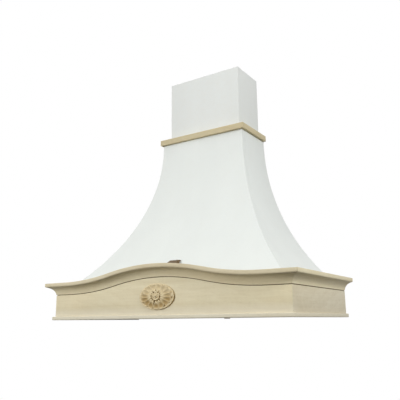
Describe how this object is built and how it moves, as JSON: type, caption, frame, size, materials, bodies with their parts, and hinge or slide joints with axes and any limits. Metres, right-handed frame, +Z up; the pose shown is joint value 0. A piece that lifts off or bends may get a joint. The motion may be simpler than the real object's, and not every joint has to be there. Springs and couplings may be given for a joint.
{
  "type": "wooden range hood cover",
  "caption": "Wall-hung range hood cover: wooden skirt with a serpentine crown and carved oval, flared white bell with a wooden neck trim, and a white chimney that slides up in the neck.",
  "frame": {"origin": "on the wall, in the middle of the cover's width, level with its underside", "axes": "+X to the right seen from the front, +Y into the wall, +Z up"},
  "size_m": [0.9594, 0.4697, 0.925],
  "materials": {
    "bare_wood": "sanded bare close-grained pale wood, unfinished",
    "carved_wood": "bare carved wood, a little warmer than the boards",
    "white_board": "matt white primed board",
    "plywood": "bare birch plywood",
    "softwood": "planed bare softwood",
    "dark_wood": "dark brown stained wood",
    "zinc_steel": "zinc plated steel"
  },
  "bodies": {
    "cover": {"frieze_front": "bare_wood", "frieze_left": "bare_wood", "frieze_right": "bare_wood", "crown_front": "bare_wood", "crown_left": "bare_wood", "crown_right": "bare_wood", "bead_front": "bare_wood", "bead_left": "bare_wood", "bead_right": "bare_wood", "trim_front": "bare_wood", "trim_left": "bare_wood", "trim_right": "bare_wood", "bell_front": "white_board", "bell_left": "white_board", "bell_right": "white_board", "deck_board": "plywood", "insert_board": "plywood", "neck_former": "plywood", "rib_front_left": "plywood", "rib_front_middle": "plywood", "rib_front_right": "plywood", "rib_side_left": "plywood", "rib_side_right": "plywood", "rib_wall_left": "plywood", "rib_wall_right": "plywood", "wall_rail_lower": "plywood", "wall_rail_upper": "plywood", "board_cleat_front": "softwood", "board_cleat_left": "softwood", "board_cleat_right": "softwood", "deck_cleat_front": "softwood", "deck_cleat_left": "softwood", "deck_cleat_right": "softwood", "corner_block_left": "softwood", "corner_block_right": "softwood", "arris_batten_left": "softwood", "arris_batten_right": "softwood", "rosette": "carved_wood", "crest_block": "dark_wood", "board_screws": "zinc_steel"},
    "chimney": {"chimney_front": "white_board", "chimney_left": "white_board", "chimney_right": "white_board", "chimney_batten_front_left": "softwood", "chimney_batten_front_right": "softwood", "chimney_batten_wall_left": "softwood", "chimney_batten_wall_right": "softwood", "ceiling_cleat_front": "softwood", "ceiling_cleat_wall": "softwood", "chimney_spreader": "softwood"}
  },
  "joints": [
    {"name": "chimney_slide", "type": "slide", "parent": "cover", "child": "chimney", "axis": [0, 0, 1], "range_m": [0, 0.12]}
  ]
}
